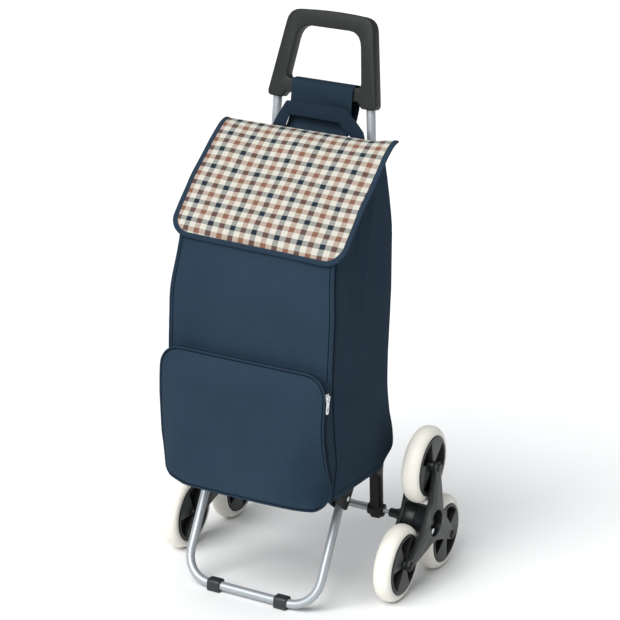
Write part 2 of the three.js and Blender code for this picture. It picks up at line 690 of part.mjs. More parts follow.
/** The fabric sleeve that hangs the bag from the grip's lower bar. */
function hangingSleeve() {
  // the space inside stops short of the tail, where the two layers are sewn together
  const inside = movedIn(SLEEVE.toReversed(), SLEEVE_CLOTH).slice(2, -2);
  const sleeve = combine([slabX(SLEEVE, SLEEVE_HALF)], [slabX(inside, SLEEVE_HALF + 10)]);
  return sleeve.translate(SLEEVE_MIDDLE, 0, 0);
}

const STRAP = { y: -102.6, z: 819, lean: 0.28, thick: 2.4 };
// the loop seen from the front, as [x, height above where it starts to lean]
const STRAP_OUTLINE = [
  [77, -8], [101, -8], [96, 6], [57, 39], [-57, 39], [-72, 5],
  [-76, -8], [-52, -8], [-48.5, 5], [-46, 17], [48, 17],
];

/** The webbing hand loop in front of the sleeve, upright behind the flap's edge and leaning above it. */
function carryStrap() {
  const shape = new THREE.Shape(flatPoints(STRAP_OUTLINE));
  const band = new THREE.ExtrudeGeometry(shape, { depth: STRAP.thick, bevelEnabled: false });
  band.translate(0, 0, -STRAP.thick / 2).rotateX(Math.PI / 2);
  const place = band.attributes.position;
  for (let i = 0; i < place.count; i++) {
    place.setY(i, place.getY(i) + STRAP.lean * Math.max(place.getZ(i), 0));
  }
  return closed(band.translate(0, STRAP.y, STRAP.z));
}

const ZIP = { x: 157, y: -306.5, z: 424 };
function zipSlider() {
  const base = block([ZIP.x + GAP, ZIP.x + 3], [ZIP.y - 4, ZIP.y + 4], [ZIP.z - 6, ZIP.z + 6]);
  const bridge = block([ZIP.x + 2, ZIP.x + 7], [ZIP.y - 1.6, ZIP.y + 1.6], [ZIP.z - 5, ZIP.z + 4]);
  const gap = block([ZIP.x + 3, ZIP.x + 5.7], [ZIP.y - 3, ZIP.y + 3], [ZIP.z - 3.5, ZIP.z + 2.5]);
  return combine([base, bridge], [gap]);
}

function zipPuller() {
  const outline = roundedRectangle(-4, 4, -30, 0.5, 3, 3);
  const eye = roundedRectangle(-2.3, 2.3, -7.5, -1.3, 0.9, 2);
  const slot = roundedRectangle(-1.6, 1.6, -26, -18, 1.5, 3);
  return slabX(outline, 0.8, [eye, slot]).translate(ZIP.x + 4.35, ZIP.y, ZIP.z + 1);
}

add('bag_body', bagBody(), NAVY);
add('pocket', pocket(), NAVY);
add('flap', flap(), PLAID);
add('hanging_sleeve', hangingSleeve(), NAVY_DARK);
add('carry_strap', carryStrap(), NAVY);
add('zip_slider', zipSlider(), ZINC);
add('zip_puller', zipPuller(), ZINC);

export default trolley;
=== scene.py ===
# Folding shopping trolley: the looks. Metres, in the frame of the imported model.
import json
import math

import bmesh
import bpy
from mathutils import Matrix, Vector, noise

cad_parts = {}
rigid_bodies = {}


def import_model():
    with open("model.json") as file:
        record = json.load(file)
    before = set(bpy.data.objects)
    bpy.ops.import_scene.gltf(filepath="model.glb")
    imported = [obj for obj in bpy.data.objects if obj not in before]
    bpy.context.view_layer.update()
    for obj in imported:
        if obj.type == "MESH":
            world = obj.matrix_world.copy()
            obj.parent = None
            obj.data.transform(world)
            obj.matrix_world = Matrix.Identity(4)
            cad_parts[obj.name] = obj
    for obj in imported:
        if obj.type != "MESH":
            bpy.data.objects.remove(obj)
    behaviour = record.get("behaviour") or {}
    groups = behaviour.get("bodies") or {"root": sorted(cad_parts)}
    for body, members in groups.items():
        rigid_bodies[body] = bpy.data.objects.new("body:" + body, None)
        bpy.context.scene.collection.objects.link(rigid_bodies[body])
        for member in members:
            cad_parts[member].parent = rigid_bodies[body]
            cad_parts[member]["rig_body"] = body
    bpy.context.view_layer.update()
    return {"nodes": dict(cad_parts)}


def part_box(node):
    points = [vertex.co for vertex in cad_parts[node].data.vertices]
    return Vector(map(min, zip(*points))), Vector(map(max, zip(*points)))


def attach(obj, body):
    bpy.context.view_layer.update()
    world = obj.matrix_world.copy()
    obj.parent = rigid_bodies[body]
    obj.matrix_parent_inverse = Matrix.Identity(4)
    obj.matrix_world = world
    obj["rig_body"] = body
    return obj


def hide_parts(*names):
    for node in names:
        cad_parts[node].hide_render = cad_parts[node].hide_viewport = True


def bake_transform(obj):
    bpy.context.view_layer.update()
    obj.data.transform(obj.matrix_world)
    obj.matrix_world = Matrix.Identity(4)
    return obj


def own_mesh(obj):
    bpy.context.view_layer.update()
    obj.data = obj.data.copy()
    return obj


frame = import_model()

MM = 0.001
axle_low, axle_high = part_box("axle_rod")
AXLE = (axle_low + axle_high) / 2
SIDES = (("left", -1), ("right", 1))
WHEELS = ("top", "front", "rear")


def at(x, y, z):
    """A point in millimetres: x and y from the axle's middle, z from the floor."""
    return Vector((AXLE.x + x * MM, AXLE.y + y * MM, z * MM))


# ---------- meshes ----------
def piece(name, verts, faces, body, materials, replaces=(), smooth=40):
    """Make a mesh piece that rides on a body and takes its finish from a slot."""
    mesh = bpy.data.meshes.new(name)
    mesh.from_pydata([tuple(v) for v in verts], [], faces)
    return mesh_piece(name, mesh, body, materials, replaces, smooth)


def mesh_piece(name, mesh, body, materials, replaces=(), smooth=40):
    """Put a mesh into the scene as a piece. Edges sharper than smooth degrees stay sharp."""
    obj = bpy.data.objects.new(name, mesh)
    bpy.context.scene.collection.objects.link(obj)
    for material in materials:
        mesh.materials.append(material)
    face_outward(mesh)
    mesh.shade_smooth()
    mesh.set_sharp_from_angle(angle=math.radians(smooth))
    if body:
        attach(obj, body)
    if replaces:
        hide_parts(*replaces)
    return obj


def face_outward(mesh):
    """Turn every face of a mesh outward."""
    work = bmesh.new()
    work.from_mesh(mesh)
    bmesh.ops.recalc_face_normals(work, faces=work.faces)
    work.to_mesh(mesh)
    work.free()


def modified(obj, kind, **settings):
    """Add a modifier to an object and bake it into the mesh."""
    modifier = obj.modifiers.new(kind.lower(), kind)
    for key, value in settings.items():
        setattr(modifier, key, value)
    graph = bpy.context.evaluated_depsgraph_get()
    baked = bpy.data.meshes.new_from_object(obj.evaluated_get(graph))
    obj.modifiers.clear()
    obj.data = baked
    return obj


def skin(rings, closed_ring=True, capped=True):
    """Faces over a stack of rings with equal numbers of points."""
    count = len(rings[0])
    verts = [point for ring in rings for point in ring]
    faces = []
    steps = count if closed_ring else count - 1
    for level in range(len(rings) - 1):
        for i in range(steps):
            a = level * count + i
            b = level * count + (i + 1) % count
            faces.append((a, b, b + count, a + count))
    if capped:
        faces.append(tuple(reversed(range(count))))
        faces.append(tuple(range((len(rings) - 1) * count, len(rings) * count)))
    return verts, faces


def lathe(profile, centre, segments=96):
    """Turn a closed profile of (x, radius) in metres about the X axis through a centre."""
    rings = []
    for k in range(segments):
        turn = 2 * math.pi * k / segments
        rings.append([centre + Vector((x, r * math.cos(turn), r * math.sin(turn))) for x, r in profile])
    count = len(profile)
    verts = [point for ring in rings for point in ring]
    faces = []
    for k in range(segments):
        after = (k + 1) % segments
        for i in range(count):
            j = (i + 1) % count
            faces.append((k * count + i, k * count + j, after * count + j, after * count + i))
    return verts, faces


def sweep(route, section, closed=False):
    """Carry a section of (side, up) offsets in metres along a route without twisting."""
    count = len(route)
    rings = []
    side = None
    last = None
    for i, point in enumerate(route):
        before = route[(i - 1) % count] if closed else route[max(i - 1, 0)]
        after = route[(i + 1) % count] if closed else route[min(i + 1, count - 1)]
        ahead = (after - before).normalized()
        if side is None:
            other = Vector((0, 0, 1)) if abs(ahead.z) < 0.9 else Vector((0, 1, 0))
            side = other.cross(ahead).normalized()
        else:
            side = last.rotation_difference(ahead) @ side
        last = ahead
        up = ahead.cross(side)
        rings.append([point + side * u + up * v for u, v in section])
    if closed:
        rings.append(rings[0])
        verts, faces = skin(rings, capped=False)
        keep = len(verts) - len(section)
        faces = [tuple(index % keep for index in face) for face in faces]
        return verts[:keep], faces
    return skin(rings)


def circle(radius, sides=10):
    """A round section for sweep."""
    turns = [2 * math.pi * k / sides for k in range(sides)]
    return [(radius * math.cos(turn), radius * math.sin(turn)) for turn in turns]


def refined(node, material, bevel=0.6, segments=2):
    """A copy of a CAD node with its edges rounded, which stands for the node."""
    source = frame["nodes"][node]
    work = bmesh.new()
    work.from_mesh(source.data)
    bmesh.ops.remove_doubles(work, verts=work.verts, dist=0.00002)
    bmesh.ops.dissolve_limit(work, angle_limit=math.radians(1), verts=work.verts, edges=work.edges)
    mesh = bpy.data.meshes.new(node + "_shape")
    work.to_mesh(mesh)
    work.free()
    body = source["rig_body"]
    obj = mesh_piece(node + "_shape", mesh, body, [material], [node], smooth=180)
    modified(obj, "BEVEL", width=bevel * MM, segments=segments, limit_method="ANGLE",
             angle_limit=math.radians(38), harden_normals=False)
    obj.data.shade_smooth()
    obj.data.set_sharp_from_angle(angle=math.radians(32))
    return obj


def smooth_line(points, steps=6):
    """A Catmull-Rom line through (a, b) points."""
    line = []
    for i in range(len(points) - 1):
        p0, p1, p2, p3 = (Vector(points[min(max(j, 0), len(points) - 1)]) for j in (i - 1, i, i + 1, i + 2))
        for k in range(steps):
            t = k / steps
            line.append(0.5 * (2 * p1 + (p2 - p0) * t + (2 * p0 - 5 * p1 + 4 * p2 - p3) * t ** 2
                               + (3 * p1 - p0 - 3 * p2 + p3) * t ** 3))
    line.append(Vector(points[-1]))
    return line


def rise(edge0, edge1, value):
    """0 before edge0, 1 after edge1, smooth between them."""
    t = min(max((value - edge0) / (edge1 - edge0), 0), 1)
    return t * t * (3 - 2 * t)


def interpolate(table, key):
    """Read the values of a table whose rows start with a rising key, with rounded joints between its rows."""
    if key <= table[0][0]:
        return list(table[0][1:])
    if key >= table[-1][0]:
        return list(table[-1][1:])
    i = next(k for k in range(len(table) - 1) if key <= table[k + 1][0])
    before, low, high, after = (table[min(max(k, 0), len(table) - 1)] for k in (i - 1, i, i + 1, i + 2))
    step = high[0] - low[0]
    t = (key - low[0]) / step
    values = []
    for p0, p1, p2, p3 in zip(before[1:], low[1:], high[1:], after[1:]):
        slope1 = (p2 - p0) / (high[0] - before[0]) * step
        slope2 = (p3 - p1) / (after[0] - low[0]) * step
        values.append(p1 * (1 + 2 * t) * (1 - t) ** 2 + slope1 * t * (1 - t) ** 2
                      + p2 * t * t * (3 - 2 * t) - slope2 * t * t * (1 - t))
    return values


# ---------- materials ----------
def node(tree, kind, inputs=None, **settings):
    """Add a shader node. An input is a number or colour, or the socket that feeds it."""
    made = tree.nodes.new(kind)
    for key, value in settings.items():
        setattr(made, key, value)
    for key, value in (inputs or {}).items():
        if isinstance(value, bpy.types.NodeSocket):
            tree.links.new(value, made.inputs[key])
        else:
            made.inputs[key].default_value = value
    return made


def new_material(name, roughness, metallic=0.0, sheen=0.0, specular=0.5):
    """A material with its node tree and its surface shader."""
    material = bpy.data.materials.new(name)
    material.use_nodes = True
    tree = material.node_tree
    surface = tree.nodes["Principled BSDF"]
    surface.inputs["Roughness"].default_value = roughness
    surface.inputs["Metallic"].default_value = metallic
    surface.inputs["Sheen Weight"].default_value = sheen
    surface.inputs["Specular IOR Level"].default_value = specular
    return material, tree, surface


def colour(values):
    """A shader colour: red, green, blue and a full alpha."""
    return (*values, 1)


def noise_value(tree, scale, detail=3.0, vector=None):
    """Smooth noise from 0 to 1, over the object unless a vector is given."""
    inputs = {"Scale": scale, "Detail": detail}
    inputs["Vector"] = vector or node(tree, "ShaderNodeTexCoord").outputs["Object"]
    return node(tree, "ShaderNodeTexNoise", inputs).outputs["Fac"]


def ramp(tree, value, stops, interpolation="LINEAR"):
    """A colour that follows a value through (place, colour) stops."""
    made = node(tree, "ShaderNodeValToRGB", {"Fac": value})
    band = made.color_ramp
    band.interpolation = interpolation
    while len(band.elements) < len(stops):
        band.elements.new(0.5)
    for element, (place, tint) in zip(band.elements, stops):
        element.position = place
        element.color = colour(tint)
    return made.outputs["Color"]


def bump(tree, surface, height, strength, distance):
    """Raise the surface's relief by a height value, over a distance in metres."""
    made = node(tree, "ShaderNodeBump", {"Height": height, "Strength": strength, "Distance": distance})
    tree.links.new(made.outputs["Normal"], surface.inputs["Normal"])


def arithmetic(tree, operation, a, b=0.0):
    """One step of arithmetic on shader values."""
    return node(tree, "ShaderNodeMath", {0: a, 1: b}, operation=operation).outputs[0]


def mixed(tree, share, first, second, blend_type="MIX"):
    """Two colours mixed, with the second one's share from 0 to 1."""
    inputs = {0: share, 6: first, 7: second}
    return node(tree, "ShaderNodeMix", inputs, data_type="RGBA", blend_type=blend_type).outputs[2]


def weave(tree, u, v, yarn):
    """Height of a plain weave, 0 to 1: yarns of the given width crossing over and under."""
    along = arithmetic(tree, "SINE", arithmetic(tree, "MULTIPLY", u, math.pi / yarn))
    across = arithmetic(tree, "SINE", arithmetic(tree, "MULTIPLY", v, math.pi / yarn))
    crossing = arithmetic(tree, "MULTIPLY", along, across)
    made = node(tree, "ShaderNodeMapRange", {"Value": crossing, "From Min": -1.0, "From Max": 1.0})
    return made.outputs[0]


def cloth_places(tree):
    """Two coordinates that run across and up any upright face."""
    place = node(tree, "ShaderNodeTexCoord").outputs["Object"]
    parts = node(tree, "ShaderNodeSeparateXYZ", {0: place})
    return arithmetic(tree, "ADD", parts.outputs[0], parts.outputs[1]), parts.outputs[2]


def fabric(name, tint, light, yarn=0.6, roughness=0.85, sheen=0.01):
    """Woven polyester: yarn-scale weave, faint slubs and broad, soft changes of tone."""
    material, tree, surface = new_material(name, roughness, sheen=sheen, specular=0.03)
    surface.inputs["Sheen Roughness"].default_value = 0.5
    u, v = cloth_places(tree)
    height = weave(tree, u, v, yarn * MM)
    broad = arithmetic(tree, "MULTIPLY", noise_value(tree, 7, 2), 0.6)
    slub = noise_value(tree, 240, 2)
    tone = arithmetic(tree, "ADD", broad, arithmetic(tree, "MULTIPLY", slub, 0.4))
    tree.links.new(ramp(tree, tone, [(0.3, tint), (0.7, light)]), surface.inputs["Base Color"])
    vary_roughness(tree, surface, slub, roughness, 0.08)
    bump(tree, surface, height, 0.35, 0.0002)
    return material


def vary_roughness(tree, surface, value, middle, spread):
    """Let the roughness swing about its middle as a 0 to 1 value does."""
    ends = {"Value": value, "To Min": middle - spread, "To Max": middle + spread}
    made = node(tree, "ShaderNodeMapRange", ends)
    tree.links.new(made.outputs[0], surface.inputs["Roughness"])


def plastic(name, tint, light, roughness, grain=0.12, specular=0.5):
    """Moulded plastic: fine spark-eroded grain and slightly paler, polished patches."""
    material, tree, surface = new_material(name, roughness, specular=specular)
    fine = noise_value(tree, 1500, 2)
    broad = noise_value(tree, 18, 3)
    tree.links.new(ramp(tree, broad, [(0.35, tint), (0.75, light)]), surface.inputs["Base Color"])
    vary_roughness(tree, surface, broad, roughness, 0.07)
    bump(tree, surface, fine, grain, 0.0001)
    return material


def metal(name, tint, light, roughness, metallic, stretch=(1, 1, 1)):
    """Metal or metallic paint: tone and roughness vary faintly, along the drawing direction if stretched."""
    material, tree, surface = new_material(name, roughness, metallic)
    place = node(tree, "ShaderNodeTexCoord").outputs["Object"]
    scaled = node(tree, "ShaderNodeMapping", {"Vector": place, "Scale": stretch}).outputs[0]
    fine = noise_value(tree, 400, 3, scaled)
    tree.links.new(ramp(tree, fine, [(0.3, tint), (0.7, light)]), surface.inputs["Base Color"])
    vary_roughness(tree, surface, fine, roughness, 0.06)
    bump(tree, surface, fine, 0.05, 0.0001)
    return material


def tyre_material():
    """Cream solid tyre: faintly dusty, smooth moulded skin."""
    material, tree, surface = new_material("cream_tyre", 0.5)
    dust = noise_value(tree, 30, 5)
    tree.links.new(ramp(tree, dust, [(0.3, (0.74, 0.72, 0.64)), (0.7, (0.79, 0.77, 0.70))]),
                   surface.inputs["Base Color"])
    surface.inputs["Subsurface Weight"].default_value = 0.15
    surface.inputs["Subsurface Radius"].default_value = (0.004, 0.003, 0.002)
    surface.inputs["Subsurface Scale"].default_value = 1.0
    bump(tree, surface, noise_value(tree, 900, 2), 0.06, 0.0001)
    return material


CREAM = (0.47, 0.455, 0.40)
TERRACOTTA = (0.175, 0.083, 0.055)
CHECK_NAVY = (0.012, 0.021, 0.031)
CHECK_WIDE, CHECK_LONG = 0.0418, 0.0364  # one repeat of the check across the flap and down it
DEEPENED = 0.12  # how far a crossing's tint goes from the yarns' average towards their deeper blend


def plaid_material():
    """Woven check: coloured and cream stripes both ways, and every crossing mixes its two yarns."""
    material, tree, surface = new_material("plaid", 0.85, sheen=0.02, specular=0.1)
    place = node(tree, "ShaderNodeUVMap").outputs[0]
    parts = node(tree, "ShaderNodeSeparateXYZ", {0: place})
    stripes = [(0, CHECK_NAVY), (0.235, CREAM), (0.5, TERRACOTTA), (0.735, CREAM)]
    tints = []
    for axis, repeat in ((0, CHECK_WIDE), (1, CHECK_LONG)):
        turn = arithmetic(tree, "FRACT", arithmetic(tree, "DIVIDE", parts.outputs[axis], repeat))
        tints.append(ramp(tree, turn, stripes, "CONSTANT"))
    height = weave(tree, parts.outputs[0], parts.outputs[1], 0.45 * MM)
    share = node(tree, "ShaderNodeMapRange", {"Value": height, "To Min": 0.35, "To Max": 0.65}).outputs[0]
    side_by_side = mixed(tree, share, tints[0], tints[1])
    product = mixed(tree, 1.0, tints[0], tints[1], "MULTIPLY")
    blended = node(tree, "ShaderNodeGamma", {"Color": product, "Gamma": 0.5}).outputs[0]
    tree.links.new(mixed(tree, DEEPENED, side_by_side, blended), surface.inputs["Base Color"])
    vary_roughness(tree, surface, noise_value(tree, 60, 2), 0.85, 0.06)
    bump(tree, surface, height, 0.3, 0.0002)
    return material


NAVY = fabric("navy_oxford", (0.016, 0.031, 0.049), (0.023, 0.040, 0.061))
# a darker copy of the navy cloth: painted shade for the bag's inside, the flap's underside and the back strip
NAVY_SHADED_INSIDE = fabric("navy_inside_painted_shade", (0.010, 0.018, 0.030), (0.015, 0.025, 0.040), roughness=0.9)
BINDING = fabric("navy_binding", (0.015, 0.028, 0.046), (0.021, 0.036, 0.056), yarn=0.4, roughness=0.75)
PIPING = fabric("navy_piping", (0.009, 0.018, 0.030), (0.014, 0.025, 0.040), yarn=0.4, roughness=0.7)
WEBBING = fabric("navy_webbing", (0.0085, 0.0155, 0.026), (0.0125, 0.021, 0.034), yarn=1.2, roughness=0.75)
THREAD = fabric("navy_thread", (0.014, 0.026, 0.042), (0.019, 0.033, 0.052), yarn=0.3, roughness=0.6)
# a darker copy of the navy oxford: painted shade on the sleeve
SHADED_SLEEVE_FABRIC = fabric("sleeve_oxford_painted_shade", (0.0125, 0.023, 0.035), (0.0175, 0.029, 0.044))
# dark tubes of painted shade, laid where the grooves beside the piping would be in shadow
GROOVE_SHADE = fabric("seam_shadow", (0.004, 0.009, 0.016), (0.007, 0.014, 0.023), yarn=0.4, roughness=0.9)
PLAID = plaid_material()
GRIP_PLASTIC = plastic("grip_plastic", (0.014, 0.0155, 0.0155), (0.018, 0.0195, 0.0195), 0.5, specular=0.22)
FRAME_PLASTIC = plastic("frame_plastic", (0.005, 0.005, 0.005), (0.008, 0.008, 0.008), 0.45, specular=0.25)
WHEEL_PLASTIC = plastic("wheel_plastic", (0.008, 0.0095, 0.0105), (0.012, 0.014, 0.015), 0.38, specular=0.3)
# a near-black copy of the wheel plastic: painted shade for the recesses
RECESS_SHADE_PLASTIC = plastic("recess_painted_shade", (0.0025, 0.0025, 0.0025), (0.004, 0.004, 0.004), 0.7)
FOOT_PLASTIC = plastic("foot_plastic", (0.013, 0.015, 0.017), (0.019, 0.022, 0.024), 0.5)
TUBE_PAINT = metal("silver_paint", (0.34, 0.37, 0.39), (0.41, 0.44, 0.46), 0.42, 0.45)
ZINC = metal("zinc", (0.62, 0.63, 0.65), (0.74, 0.75, 0.77), 0.28, 1.0)
AXLE_STEEL = metal("axle_steel", (0.26, 0.28, 0.29), (0.34, 0.36, 0.37), 0.42, 1.0, stretch=(0.1, 1, 1))
CREAM_TYRE = tyre_material()


# ---------- frame, platform and stand ----------
def hard_parts():
    """Every stiff part: its CAD shape with rounded edges and a finish of its own."""
    refined("grip", GRIP_PLASTIC, bevel=2.2, segments=3)
    for name in ("axle_tube", "stand_tube"):
        refined(name, TUBE_PAINT, bevel=0.3)
    refined("axle_rod", AXLE_STEEL, bevel=0.5)
    refined("platform_rail", FRAME_PLASTIC, bevel=0.4)
    refined("base_board", FRAME_PLASTIC, bevel=0.8)
    for side, _ in SIDES:
        refined(f"upright_{side}", TUBE_PAINT, bevel=0.3)
        refined(f"post_{side}", FRAME_PLASTIC, bevel=0.9)
        refined(f"bracket_{side}", FRAME_PLASTIC, bevel=1.0)
        refined(f"foot_{side}", FOOT_PLASTIC, bevel=2.2, segments=3)
        refined(f"axle_cap_{side}", FRAME_PLASTIC, bevel=0.4)
        for pin in ("fold_pin", "stand_pin", "release_button"):
            refined(f"{pin}_{side}", ZINC, bevel=0.4)
        refined(f"spider_{side}", WHEEL_PLASTIC, bevel=1.1, segments=3)
        for wheel in WHEELS:
            refined(f"pin_{wheel}_{side}", FRAME_PLASTIC, bevel=0.5)
            wheel_disc(f"disc_{wheel}_{side}")
    for name in ("zip_slider", "zip_puller"):
        flattens(refined(name, ZINC, bevel=0.25))


def wheel_disc(name):
    """A disc whose recesses between the petals take a near-black, rougher plastic: painted shade in the
    recesses.
    """
    made = refined(name, WHEEL_PLASTIC, bevel=0.8)
    made.data.materials.append(RECESS_SHADE_PLASTIC)
    low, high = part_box(name)
    middle = (low + high) / 2
    petal_face, hub, rim = 16.0 * MM, 10.5 * MM, 49.0 * MM
    for face in made.data.polygons:
        offset = face.center - middle
        radius = math.hypot(offset.y, offset.z)
        # faces in the recesses between the petals get the painted shade
        if abs(offset.x) < petal_face and hub < radius < rim:
            face.material_index = 1


def flattens(obj):
    """Give a soft piece of the bag a mesh of its own."""
    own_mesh(obj)
    return obj


def tyres():
    """Solid tyres with a full round tread, and a small round where each meets its disc."""
    seat, tread, half, crown = 54.6, 70.0, 16.5, 12.5
    steps = 24
    foot = [(half, seat + 2.2), (half - 0.6, seat + 0.6), (half - 2.2, seat)]
    profile = [(-x, radius) for x, radius in reversed(foot)]
    for k in range(steps + 1):
        angle = math.pi * (1 - k / steps)
        profile.append((half * math.cos(angle), tread - crown + crown * abs(math.sin(angle)) ** 0.9))
    profile += foot
    for side, _ in SIDES:
        for wheel in WHEELS:
            low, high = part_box(f"tyre_{wheel}_{side}")
            verts, faces = lathe([(x * MM, r * MM) for x, r in profile], (low + high) / 2)
            piece(f"tyre_{wheel}_{side}_shape", verts, faces, f"wheel_{wheel}_{side}",
                  [CREAM_TYRE], [f"tyre_{wheel}_{side}"])


# ---------- bag ----------
# height, front edge, back edge at the sides, back between the uprights, half width, in millimetres
BAG_SIDE_VIEW = [
    (217, -247, -44, -44, 150),
    (222, -251, -41, -41, 153.5),
    (232, -252, -36, -37, 155),
    (240, -251, -24, -31, 155),
    (248, -250, -9, -29, 155),
    (259, -249, -4, -29, 155),
    (285, -249, -9, -29, 155),
    (306, -254, -19, -33, 155),
    (328, -261, -31, -37, 155),
    (376, -273, -46, -44, 155),
    (432, -284, -53, -50, 155),
    (517, -290, -58, -58, 155),
    (577, -290, -64, -63, 155),
    (642, -283, -71, -70, 154),
    (686, -276, -78, -77, 153),
    (753, -262, -101, -100, 152),
    (815, -250, -128, -124, 150),
]
BAG_LOW, BAG_MIDDLE, FRONT_CORNER, BACK_CORNER = 217, -150, 6, 11
BAG_CLOTH = 1.6
# the bag's rim, from its front edge to its back, as (y, z)
RIM_LINE = [(-300, 648), (-284, 650), (-270, 664), (-243, 694), (-221, 717), (-194, 741), (-166, 767),
            (-145, 784), (-124, 798), (-100, 806)]
FRONT_STEPS, CORNER_STEPS, SIDE_STEPS = 40, 4, 34


def bag_front(z):
    """The bag's front edge at a height."""
    return interpolate(BAG_SIDE_VIEW, z)[0]


def bag_ring_places():
    """Panel and share along it of each point of a ring, counter-clockwise from the front left."""
    places = []
    for panel, steps in (("front", FRONT_STEPS), ("front_right", CORNER_STEPS), ("right", SIDE_STEPS),
                         ("back_right", CORNER_STEPS), ("back", FRONT_STEPS), ("back_left", CORNER_STEPS),
                         ("left", SIDE_STEPS), ("front_left", CORNER_STEPS)):
        places += [(panel, k / steps) for k in range(steps)]
    return places


def bag_point(panel, share, z):
    """A point on the bag's outside before it sags."""
    front, back_side, back_middle, half = interpolate(BAG_SIDE_VIEW, z)
    corner = {
        "front_right": (half - FRONT_CORNER, front + FRONT_CORNER, FRONT_CORNER, -90),
        "back_right": (half - BACK_CORNER, back_side - BACK_CORNER, BACK_CORNER, 0),
        "back_left": (-half + BACK_CORNER, back_side - BACK_CORNER, BACK_CORNER, 90),
        "front_left": (-half + FRONT_CORNER, front + FRONT_CORNER, FRONT_CORNER, 180),
    }.get(panel)
    if corner:
        x, y, radius, start = corner
        angle = math.radians(start + 90 * share)
        return x + radius * math.cos(angle), y + radius * math.sin(angle)
    if panel == "front":
        return (2 * share - 1) * (half - FRONT_CORNER), front
    if panel == "back":
        x = (1 - 2 * share) * (half - BACK_CORNER)
        inward = rise(half - BACK_CORNER, half - BACK_CORNER - 14, abs(x))
        return x, back_side + (back_middle - back_side) * inward
    low, high = front + FRONT_CORNER, back_side - BACK_CORNER
    if panel == "right":
        return half, low + (high - low) * share
    return -half, high + (low - high) * share


def bag_body():
    """The bag: one shell of cloth, lofted from its floor to its open, sloping rim."""
    levels, crowding = 84, 1.25  # the rings lie closer together near the floor
    places = bag_ring_places()
    columns = []
    for panel, share in places:
        top = 700.0
        for _ in range(12):
            top = interpolate(RIM_LINE, bag_point(panel, share, top)[1])[0]
        column = []
        for level in range(levels + 1):
            z = BAG_LOW + (top - BAG_LOW) * (level / levels) ** crowding
            x, y = bag_point(panel, share, z)
            column.append(at(x, y, z))
        columns.append(column)
    rings = [[column[level] for column in columns] for level in range(levels + 1)]
    middle = at(0, BAG_MIDDLE, BAG_LOW)
    floor = [[middle + (point - middle) * inset for point in rings[0]] for inset in (0.1, 0.4, 0.7, 0.92)]
    verts, faces = skin(floor + rings, capped=False)
    faces.append(tuple(reversed(range(len(places)))))
    bag = piece("bag_shell", verts, faces, "frame", [NAVY, NAVY_SHADED_INSIDE], ["bag_body"])
    for vertex in bag.data.vertices:
        vertex.co += bag_sag(vertex.co)
    # the inner faces take the darker copy of the navy cloth: painted shade
    modified(bag, "SOLIDIFY", thickness=BAG_CLOTH * MM, offset=-1, material_offset=1)
    bag.data.shade_smooth()
    bag.data.set_sharp_from_angle(angle=math.radians(50))
    return flattens(bag)


def drawn_in(z):
    """How far the front panel's side edges are drawn in below the flap, in millimetres."""
    return 8.5 * rise(530, 645, z)


# folds of the side panels: (y, z) of one end, (y, z) of the other, width and depth in millimetres
SIDE_FOLDS = [
    ((-236, 292), (-244, 236), 5.0, -3.6),
    ((-226, 296), (-233, 240), 6.0, 2.2),
    ((-245, 330), (-206, 262), 9.0, 2.0),
    ((-60, 330), (-18, 262), 9.0, 2.6),
    ((-76, 338), (-40, 248), 8.0, -2.4),
    ((-110, 640), (-74, 430), 10.0, 2.4),
    ((-270, 600), (-262, 470), 9.0, -2.0),
    ((-205, 740), (-232, 560), 13.0, -3.4),
    ((-150, 770), (-178, 560), 12.0, 2.6),
    ((-222, 690), (-214, 500), 7.0, 1.8),
    ((-200, 250), (-120, 236), 9.0, 1.6),
]


def fold_depth(y, z):
    """How far the folds push a side panel out, in millimetres."""
    depth = 0.0
    for (y0, z0), (y1, z1), width, height in SIDE_FOLDS:
        run_y, run_z = y1 - y0, z1 - z0
        length = math.hypot(run_y, run_z)
        share = ((y - y0) * run_y + (z - z0) * run_z) / length ** 2
        off = ((y - y0) * run_z - (z - z0) * run_y) / length
        fade = rise(-0.25, 0.2, share) * rise(1.25, 0.8, share)
        depth += height * fade * math.exp(-(off / width) ** 2)
    return depth


def bag_sag(co):
    """Soft swelling of each panel, its folds, and the hollow of its stitched hem."""
    x = (co.x - AXLE.x) / MM
    y = (co.y - AXLE.y) / MM
    z = co.z / MM
    front, back_side, _, half = interpolate(BAG_SIDE_VIEW, z)
    upward = math.sin(math.pi * min(max((z - 225) / 440, 0), 1))
    off_floor = rise(BAG_LOW, BAG_LOW + 14, z)
    on_side = rise(half - 9, half - 1, abs(x)) * off_floor
    on_front = rise(11, 2, y - front) * off_floor
    swell = math.sin(math.pi * min(max((y - front) / (back_side - front), 0), 1))
    waves = noise.noise(Vector((x, y, z)) * 0.011) * 3.0 + noise.noise(Vector((x, y, z * 0.6)) * 0.028) * 1.2
    wrinkles = noise.noise(Vector((x * 1.5, y, z * 1.2)) * 0.07) * 0.5
    outward = swell * upward * 2.5 + (waves + wrinkles) * (0.3 + 0.7 * swell)
    outward += fold_depth(y, z) * (0.25 + 0.75 * swell)
    reach = min(max((y - front) / (back_side - front), 0), 1)
    pulled = -x / half * drawn_in(z) * (1 - reach)
    forward = (1 - (x / half) ** 2) * upward * 4 + (waves + wrinkles) * 0.6
    return Vector((pulled + math.copysign(1, x) * on_side * outward, -on_front * forward, 0)) * MM


SEAM_LOW, SEAM_HIGH = 222, 652


def seam_line(sign, low, high, across, behind):
    """A line on the cloth down a front corner: across in from the side, and behind the front."""
    line = []
    for k in range(81):
        z = low + (high - low) * k / 80
        front, _, _, half = interpolate(BAG_SIDE_VIEW, z)
        point = at(sign * (half - across), front + behind, z)
        line.append(point + bag_sag(point) + Vector((sign, -1, 0)) * 0.3 * MM)
    return line


